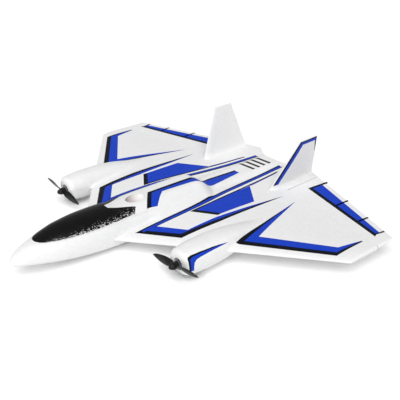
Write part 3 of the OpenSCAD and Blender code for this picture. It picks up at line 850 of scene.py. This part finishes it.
def join_patch(bm, patch):
    mesh = to_mesh("patch", patch)
    bm.from_mesh(mesh)
    bpy.data.meshes.remove(mesh)


def film(bm, outline, side, lift, step, height):
    """Adds one piece of thin film over an outline in plan, following the skin's height."""
    patch = cut_patch([(side * x, y) for x, y in outline], (step, step))
    points = np.array([v.co[:] for v in patch.verts])
    heights = height(points[:, 0], points[:, 1]) + lift
    for vert, z in zip(patch.verts, heights):
        vert.co = Vector((vert.co.x, vert.co.y, float(z)))
    rim = [e for e in patch.edges if e.is_boundary]
    hem = bmesh.ops.extrude_edge_only(patch, edges=rim)["geom"]
    for vert in hem:
        if isinstance(vert, bmesh.types.BMVert):
            vert.co.z -= lift + HEM
    bmesh.ops.scale(patch, vec=(MM, MM, MM), verts=patch.verts)
    join_patch(bm, patch)


def trim(name, body, material, outlines, lift, height, sides, step):
    """One film object from outlines drawn for the left side, lifted a little off the skin."""
    bm = bmesh.new()
    for side in sides:
        for outline in outlines:
            film(bm, outline, side, lift, step, height)
    bmesh.ops.remove_doubles(bm, verts=bm.verts, dist=1e-7)
    for face in bm.faces:
        if face.normal.z < -0.05:
            face.normal_flip()
    mesh = to_mesh(name, bm)
    shade(mesh, 35)
    return place(new_object(name, mesh, material), body, "foam")


# Outlines in plan on the left side, in mm. A black piece and the blue one beside it share an edge.
OUTER_EDGE = [(170.6, 7.5), (273.8, 83.2), (276.4, 134.6)]
INNER_EDGE = [(108, 134.8), (103.6, 23.7), (97.7, -47.6), (54.4, -83)]
PANEL_BLACK = [
    # outboard chevron
    [(135.2, 152.6), (167.2, -5.5), (278.6, 77.5), (278.6, 134.5), *OUTER_EDGE[::-1]],
    # inboard chevron
    [(110, 151.6), (109.5, 18), (105.3, -53), (50.7, -95), *INNER_EDGE[::-1]],
    # front bar of the inner panel and the stripe behind it
    [(58.5, 1.8), (93.5, 26.8), (93, 34.5), (61, 12)],
    [(58.5, 1.8), (61, 12), (58.9, 36.6), (55.8, 69.3), (52.5, 103.4), (48.8, 139.1), (42, 212),
     (39.4, 212), (46, 139.1), (49.6, 103.4), (52.9, 69.3), (56.2, 36.6)],
]
PANEL_BLUE = [
    [(135.2, 152.6), *OUTER_EDGE, (267, 94.4), (176.2, 30.6)],
    [(110, 151.6), *INNER_EDGE, (59, -62.4), (96.5, -34.1), (96.5, 19.4), (102.4, 85.9)],
    # field of the inner panel and its tail beside the stripe
    [(61, 12), (93, 34.5), (95.2, 101.8), (49.8, 136.5), (52.5, 103.4), (55.8, 69.3), (58.9, 36.6)],
    [(48.8, 139.1), (51, 135.6), (43.4, 206), (42.2, 206)],
]
ELEVON_BLACK = [
    [(116.9, 203.6), (281.1, 159.6), (278.6, 166.6), (122, 209.4), (125.6, 243.2), (121, 245.2)],
    [(183, 192.5), (186.6, 191.5), (188.2, 218), (184.8, 219.4)],
    [(236.6, 178), (240, 177.2), (242, 197.4), (238.6, 198.8)],
    [(276.4, 167.2), (279, 166.4), (282.6, 181.4), (279.4, 182.6)],
]
ELEVON_BLUE = [[(122, 209.4), (276.4, 167.2), (278.4, 173.8), (124.6, 230.6)]]
STRIPE_END = 232
STRIPE = [(-95, 51.5), (-42.8, 51), (14.8, 48), (50, 44), (82.4, 38.6), (117.7, 34.6), (153.9, 31),
          (STRIPE_END, 25)]


def ribbon(start, near, far):
    """Outline of a band along the long stripe, from near to far millimetres outboard of its inner edge."""
    ys = np.linspace(start, STRIPE_END, 14)
    xs = curve(ys, STRIPE)
    return ([(float(x) + near, float(y)) for x, y in zip(xs, ys)]
            + [(float(x) + far, float(y)) for x, y in zip(xs[::-1], ys[::-1])])


SPINE_BLACK = [ribbon(-93, 0, 2.9), ribbon(-66, 7.0, 8.2)]
SPINE_BLUE = [ribbon(-85, 2.9, 7.0)]
DECK_BLACK = [
    [(-1.4, -32.4), (29.6, -57), (29.9, -49.2), (3.4, -28), (3.6, 56), (-3.5, 91.5), (0.5, 152.5),
     (-4.1, 152.5), (-7.3, 93.9), (-1.6, 58)],
]
DECK_BLUE = [
    [(3.4, -28), (29.9, -49.2), (31.5, -38.7), (9.6, -12.6), (12.6, 43.3), (18, 71.6), (7.4, 152.5),
     (0.5, 152.5), (-3.5, 91.5), (3.6, 56)],
]


def elevon_top(x, y):
    return wing_faces(x, y)[0]


for part, outlines, lift, sides, step in (("", (PANEL_BLACK, PANEL_BLUE), PANEL_LIFT, (1, -1), 4.0),
                                         ("spine_", (SPINE_BLACK, SPINE_BLUE), SPINE_LIFT, (1, -1), 2.0),
                                         ("deck_", (DECK_BLACK, DECK_BLUE), DECK_LIFT, (1,), 2.0)):
    trim(part + "black_trim", "airframe", black_film, outlines[0], lift, foam_top, sides, step)
    trim(part + "blue_trim", "airframe", blue_film, outlines[1], lift, foam_top, sides, step)
for side, sign in SIDES.items():
    body = side + "_elevon"
    trim(body + "_black_trim", body, black_film, ELEVON_BLACK, PANEL_LIFT, elevon_top, (sign,), 8.0)
    trim(body + "_blue_trim", body, blue_film, ELEVON_BLUE, PANEL_LIFT, elevon_top, (sign,), 8.0)

# painted shade: black sheets on the floors of the shallow vent recesses stand in for the dark depth of the
# vents
vent_painted_shade = stock("vent_painted_shade", (0.005, 0.005, 0.006), (0.01, 0.01, 0.011), (0.6, 0.8))
vents = [vent_outline(y, 0.05) for y in VENTS]
trim("vent_shade_floors", "airframe", vent_painted_shade, vents, VENT_LIFT, foam_top, (1,), 2.0)

# --- Canopy print ---

def contour_x(y, level):
    """Half width of the fuselage's top at a height."""
    low, high = np.zeros_like(y), np.full_like(y, 60.0)
    for _ in range(40):
        mid = (low + high) / 2
        above = hump(mid, y) > level
        low, high = np.where(above, mid, low), np.where(above, high, mid)
    return low


PRINT_FRONT, PRINT_BACK = -228.0, -79


def canopy_print():
    """Gloss print over the front of the hatch, with the fade stored on its points."""
    tip = PRINT_FRONT + 12 * (1 - np.cos(np.pi / 2 * np.arange(12) / 12))
    ys = np.concatenate([tip, np.arange(PRINT_FRONT + 12, -74, 2.0)])
    across = np.sin(np.pi / 2 * np.arange(-30, 31) / 30)
    rear = np.interp(np.abs(across), [0, 0.16, 0.68, 1], [-109.0, -109.0, -70.5, PRINT_BACK])
    y = ys[0] + (ys[:, None] - ys[0]) * (rear - ys[0]) / (ys[-1] - ys[0])
    front_z = float(curve(PRINT_FRONT, RIDGE)) - 0.04
    rim_z = np.interp(y, [PRINT_FRONT, -223, -190, PRINT_BACK], [front_z, 46.6, 46.6, 47.4])
    x = contour_x(y, rim_z) * across
    z = hump(x, y)
    down = np.hypot(np.diff(x, axis=1), np.diff(z, axis=1))
    from_rim = np.concatenate([np.zeros((len(ys), 1)), np.cumsum(down, axis=1)], axis=1)
    from_rim = np.minimum(from_rim, from_rim[:, -1:] - from_rim)
    band = np.interp(y, [-225, -205, -150, -90], [2.0, 8.0, 20.0, 26.0])
    fade = 0.36 + 0.74 * (from_rim / band) ** 0.7
    marks = np.stack([y / 3.4, from_rim / 1.1 + y / 22, fade], -1).reshape(-1, 3)
    points = np.stack([x, y, z + 0.12], -1).reshape(-1, 3) * MM
    mesh = bpy.data.meshes.new("canopy_print")
    mesh.from_pydata(points.tolist(), [], grid_faces(*x.shape))
    field = mesh.attributes.new("print", "FLOAT_VECTOR", "POINT")
    field.data.foreach_set("vector", marks.ravel())
    mesh.shade_smooth()
    mesh.materials.append(canopy_material())
    return place(new_object("canopy_print", mesh), "canopy", "canopy")


canopy_print()

# --- Fins ---

# x, front y, back y and z of the fin's foot and top
FIN_FOOT, FIN_TOP = (79.4, 148.5, 253.0, 27.0), (102.1, 194.0, 233.5, 110.8)
FIN_STEPS, POD_STEPS = (0.03, 0.04), (2.0, 1.0)


def fin_point(t, s, face):
    """Point on a left fin: t up the blade, s back along it, face +1 outboard and -1 inboard."""
    x, front, back, z = (lerp(a, b, t) for a, b in zip(FIN_FOOT, FIN_TOP))
    thick = lerp(5.6, 3.2, t)
    tip, nose, tail = arc((t - 0.975) / 0.025), arc(1 - s / 0.12), arc((s - 0.985) / 0.015)
    half = thick / 2 * nose * lerp(1.0, 0.42, smooth((s - 0.25) / 0.75)) * tail * tip
    flare = 5.0 * np.exp(-np.maximum(z - 30.5, 0) / 2.6) * np.minimum(nose, tail)
    return np.stack([x + face * (half + flare), lerp(front, back, s) + 0 * t, z + 0 * s], -1)


def fin_foam(name, side):
    s = (1 - np.cos(np.pi * np.arange(49) / 48)) / 2
    rings = []
    for t in np.concatenate([np.linspace(0, 0.14, 15)[:-1], np.linspace(0.14, 0.97, 24)[:-1],
                             0.975 + 0.025 * np.sin(np.pi / 2 * np.arange(9) / 9)]):
        out, inner = fin_point(t, s, 1), fin_point(t, s, -1)
        rings.append(np.vstack([out, inner[-2:0:-1]]))
    return solid_from_rings(name, rings, foam, side=side)


def side_film(name, outlines, material, side, steps, drape):
    """Film on an upright face from flat outlines; drape turns their points into left side points in mm."""
    bm = bmesh.new()
    for outline in outlines:
        patch = cut_patch(outline, steps)
        u, v = np.array([vert.co[:2] for vert in patch.verts]).T
        for vert, point in zip(patch.verts, drape(u, v)):
            vert.co = Vector((side * point[0], point[1], point[2])) * MM
        join_patch(bm, patch)
    bmesh.ops.recalc_face_normals(bm, faces=bm.faces)
    mesh = to_mesh(name, bm)
    mesh.shade_smooth()
    return place(new_object(name, mesh, material), "airframe", "foam")


def on_fin(s, t):
    """Points just off a fin's outboard face."""
    return fin_point(t, s, 1) + [PANEL_LIFT, 0, 0]


# Outlines on the fin's outboard face: s back along it, t up the blade
FIN_BLACK = [
    [(0.02, 0.12), (0.02, 0.985), (0.97, 0.985), (0.97, 0.955), (0.10, 0.955), (0.055, 0.12)],
    [(0.97, 0.985), (0.985, 0.60), (0.90, 0.90), (0.93, 0.90), (0.965, 0.74), (0.945, 0.955)],
]
FIN_BLUE = [
    [(0.055, 0.12), (0.10, 0.955), (0.945, 0.955), (0.93, 0.90), (0.25, 0.90), (0.13, 0.12)],
    [(0.945, 0.955), (0.965, 0.74), (0.93, 0.90)],
]
for side, sign in SIDES.items():
    place(fin_foam(side + "_fin_foam", sign), "airframe", "foam", side + "_fin")
    side_film(side + "_fin_black_trim", FIN_BLACK, black_film, sign, FIN_STEPS, on_fin)
    side_film(side + "_fin_blue_trim", FIN_BLUE, blue_film, sign, FIN_STEPS, on_fin)

# --- Trim on the outboard side of each pod ---

# Outlines in side view, y and z in mm, with the edge between black and blue
POD_EDGE = [(-87.2, 20), (-87.6, 30), (-86.8, 36.6), (-82.5, 38.9), (-67.4, 40.2), (-46.1, 39.9),
            (-30.1, 39.5), (-18.8, 38.5)]
POD_BLACK = [
    [(-89.6, 20), (-90.2, 30), (-89.8, 37.5), (-88.2, 39.6), (-83, 40.8), (-67.9, 41.8), (-47.1, 41.2),
     (-33.5, 40.3), *POD_EDGE[::-1]],
]
POD_BLUE = [
    [*POD_EDGE, (-38.6, 38), (-55, 37.5), (-70, 36.4), (-77.5, 34.8), (-81.5, 31.5), (-82.6, 27),
     (-82.8, 20)],
]


def on_pod_side(y, z):
    """Points just off the outboard side of the left pod."""
    half, level, tall = pod_size(y)
    rim = np.clip(np.abs((z - level) / tall), 0, 0.999)
    points = np.stack([MOTOR_X + half * (1 - rim ** POD_SQUARE) ** (1 / POD_SQUARE), y, z], 1)
    return settle(block_value, points, 0.12, reach=2.5)


for side, sign in SIDES.items():
    side_film(side + "_pod_black_trim", POD_BLACK, black_film, sign, POD_STEPS, on_pod_side)
    side_film(side + "_pod_blue_trim", POD_BLUE, blue_film, sign, POD_STEPS, on_pod_side)

# --- Clear chin cowls ---

def pod_solid(name, grow, start, end):
    """Left pod's front with its rounded nose, grown all round, for the cowl."""
    turn = 2 * np.pi * np.arange(120) / 120
    wide, high = (np.sign(f) * np.abs(f) ** (2 / POD_SQUARE) for f in (np.cos(turn), np.sin(turn)))
    rings = []
    for y in np.linspace(start, end, 48):
        half, level, tall = (float(v) for v in pod_size(np.float64(y)))
        ahead = min(POD_FRONT - y, -0.02)
        inset = grow + (ahead - POD_ROUND + math.sqrt(-4 * POD_ROUND * ahead) if ahead > -POD_ROUND else 0.0)
        x, z = MOTOR_X + (half + inset) * wide, level + (tall + inset) * high
        rings.append(np.stack([x, 0 * turn + y, z], -1))
    return solid_from_rings(name, rings)


clear = clear_material()
cowl = pod_solid("left_cowl_shell", 0, POD_FRONT, -60.2)
carve(cowl, [block("cowl_keep", (112, -95, 0), (180, -60.3, 12.7))], "INTERSECT")
carve(cowl, [pod_solid("cowl_inside", -0.9, POD_FRONT + 1.1, -60)])
dress(cowl, clear)
for side, piece in (("left", cowl), ("right", mirrored(cowl, "right_cowl_shell"))):
    place(piece, "airframe", "clear_plastic", side + "_chin_cowl")

# --- Propellers ---

PROP_R, ROOT_R, HUB_Y, PITCH, PARK = 49.0, 4, -98.0, 52.0, math.radians(6.5)
HUB_R, RIM_R, CORE_R, HOLE_R = 5.5, 4.6, 2.9, 1.5


def blade_ring(r):
    """Ring round a blade's section at radius r, in the hub's frame."""
    t = (r - ROOT_R) / (PROP_R - ROOT_R)
    tip = math.sqrt(max(0.0, 1 - t ** 14))
    chord = (6.2 + 6.6 * math.sin(math.pi * min(1, t) ** 0.8) * (1 - 0.35 * t) - 3 * t ** 6) * max(tip, 0.06)
    thick = lerp(2.6, 0.9, t ** 0.5)
    turn = math.atan(PITCH / (2 * math.pi * max(r, 9)))
    ring = []
    for k in range(36):
        w = 2 * math.pi * k / 36
        u = chord / 2 * math.cos(w)
        v = thick / 2 * math.sin(w) + 0.05 * chord * (1 - (2 * u / chord) ** 2)
        ring.append((r, u * math.cos(turn) - v * math.sin(turn), u * math.sin(turn) + v * math.cos(turn)))
    return ring


def propeller(name, side):
    """Two blades and a hub with a groove in its back, parked a little off level."""
    def disc(part, radius, start, end):
        return rod(part, (MOTOR_X, MOTOR_Z), radius, HUB_Y + start, HUB_Y + end, axis=1, side=side)

    radii = [lerp(ROOT_R, PROP_R, 1 - (1 - k / 44) ** 1.6) for k in range(45)]
    parts = []
    for turn in (PARK, PARK + math.pi):
        c, s = math.cos(turn), math.sin(turn)
        rings = [[(MOTOR_X + x * c - y * s, HUB_Y - z, MOTOR_Z + x * s + y * c) for x, y, z in blade_ring(r)]
                 for r in radii]
        parts.append(solid_from_rings("blade", rings, side=side))
    hub = carve(disc(name, HUB_R, -3.5, 3.5), parts, "UNION")
    groove = carve(disc("rim", RIM_R, 1.6, 4), [disc("core", CORE_R, 1.0, 5)])
    return carve(hub, [groove, disc("hole", HOLE_R, -5, 5)])


prop_black = stock("prop_nylon", (0.005, 0.005, 0.0055), (0.01, 0.01, 0.011), (0.22, 0.38), 0.00002, 900.0,
                   Specular_IOR_Level=0.2)
for side, sign in SIDES.items():
    piece = propeller(side + "_prop_blades", sign)
    dress(piece, prop_black)
    place(piece, side + "_prop", "prop_plastic", side + "_propeller")

# --- Finishes of the CAD pieces ---

FINISHES = {
    "foam": foam,
    "canopy": foam,
    "hinge_foam": white_smooth,
    "clear_plastic": clear,
    "prop_plastic": prop_black,
    "black_plastic": stock("moulded_black", (0.006, 0.006, 0.007), (0.013, 0.013, 0.014), (0.35, 0.55),
                           Specular_IOR_Level=0.25),
    "skid_plastic": stock("skid_sheet", (0.66, 0.66, 0.65), (0.76, 0.76, 0.75), (0.45, 0.7),
                          0.00006, 500.0, (1, 0.15, 1)),
    "carbon": stock("carbon_tube", (0.012, 0.012, 0.013), (0.04, 0.04, 0.044), (0.2, 0.4),
                    0.00003, 900.0, (0.05, 1, 1)),
    "magnet": stock("nickel", (0.6, 0.6, 0.62), (0.74, 0.74, 0.76), (0.12, 0.24), 0.00001, Metallic=1.0),
    "steel": stock("bright_steel", (0.46, 0.47, 0.49), (0.62, 0.63, 0.65), (0.22, 0.38),
                   0.00001, 900.0, Metallic=1.0),
    "stator_iron": stock("laminations", (0.3, 0.31, 0.33), (0.45, 0.46, 0.48), (0.35, 0.5),
                         0.00008, 1500.0, (0.1, 1, 0.1), Metallic=0.9),
    "copper": stock("enamelled_copper", (0.5, 0.19, 0.07), (0.72, 0.32, 0.13), (0.2, 0.4),
                    0.00012, 1600.0, (0.3, 1, 0.3), Metallic=0.85),
    "bell_blue": stock("anodised_bell", (0.01, 0.02, 0.045), (0.018, 0.032, 0.07), (0.2, 0.34),
                       0.00001, 900.0, (1, 0.2, 1), Metallic=0.9),
    "wire_sleeve": stock("silicone_sleeve", (0.016, 0.016, 0.018), (0.03, 0.03, 0.033), (0.5, 0.7)),
    "servo_wire": stock("servo_lead_sheath", (0.09, 0.035, 0.016), (0.15, 0.065, 0.032), (0.45, 0.65)),
    "servo_case": stock("servo_case", (0.014, 0.014, 0.016), (0.03, 0.03, 0.033), (0.35, 0.55), 0.00004),
    "white_nylon": stock("white_nylon", (0.74, 0.74, 0.72), (0.84, 0.84, 0.82), (0.35, 0.5), 0.00003),
    "battery_wrap": stock("shrink_wrap", (0.012, 0.035, 0.17), (0.022, 0.055, 0.24), (0.18, 0.34),
                          0.0001, 260.0),
    "strap": stock("woven_band", (0.008, 0.008, 0.009), (0.03, 0.03, 0.032), (0.7, 0.9), 0.0002, 1400.0),
    "plywood": stock("thin_plywood", (0.42, 0.27, 0.13), (0.6, 0.43, 0.24), (0.5, 0.7),
                     0.00005, 420.0, (1, 0.12, 1)),
    "plug_yellow": stock("plug_yellow", (0.66, 0.36, 0.02), (0.8, 0.48, 0.04), (0.3, 0.45)),
    "board": stock("board_sleeve", (0.012, 0.06, 0.03), (0.03, 0.12, 0.06), (0.25, 0.5), 0.00025, 500.0),
}
for entry in frame["record"]["subparts"]:
    data = frame["nodes"][entry["node"]].data
    data.materials.clear()
    data.materials.append(FINISHES[entry["material_slot"]])

# --- Camera, floor and light ---

CAMERA_AT, LOOK_AT, LENS = (744.4, -568.3, 522.5), (0, 72, 7), 60.57
FLOOR_HALF = 8  # metres
PURE_WHITE = (1.0, 1.0, 1.0, 1.0)


def aim(obj, target):
    obj.rotation_euler = (Vector(target) - obj.location).to_track_quat("-Z", "Y").to_euler()


camera = bpy.data.objects.new("camera", bpy.data.cameras.new("camera"))
camera.location = Vector(CAMERA_AT) * MM
camera.data.lens = LENS
camera.data.sensor_width = 36.0
camera.data.clip_start = 0.01
aim(camera, Vector(LOOK_AT) * MM)
bpy.context.scene.collection.objects.link(camera)
bpy.context.scene.camera = camera


def light(name, kind, location, energy, **shape):
    """One lamp aimed at the middle of the scene."""
    data = bpy.data.lights.new(name, kind)
    data.energy = energy
    for key, value in shape.items():
        setattr(data, key, value)
    lamp = bpy.data.objects.new(name, data)
    lamp.location = location
    aim(lamp, (0, 0, 0))
    bpy.context.scene.collection.objects.link(lamp)


light("key", "SUN", (0.5, -0.55, 1.0), 2.75, angle=math.radians(60))
light("fill", "AREA", (-1.4, -1.2, 1.3), 1.5, shape="DISK", size=1.2)

floor_mesh = bpy.data.meshes.new("floor")
floor_mesh.from_pydata([(FLOOR_HALF * x, FLOOR_HALF * y, 0) for x, y in ((-1, -1), (1, -1), (1, 1), (-1, 1))],
                       [], [(0, 1, 2, 3)])
floor_paper = Shader("floor_paper", Specular_IOR_Level=0.1, Emission_Color=PURE_WHITE, Emission_Strength=0.06)
floor_paper.color(floor_paper.blend(floor_paper.noise(3.0), (0.96, 0.96, 0.96), (0.98, 0.98, 0.98)))
floor_paper.rough(floor_paper.noise(20.0), 0.85, 0.95)
floor = new_object("floor", floor_mesh, floor_paper.material)

world = bpy.data.worlds.new("studio")
world.use_nodes = True
world.node_tree.nodes["Background"].inputs["Color"].default_value = PURE_WHITE
world.node_tree.nodes["Background"].inputs["Strength"].default_value = 0.33
bpy.context.scene.world = world
bpy.context.scene.view_settings.view_transform = "Standard"
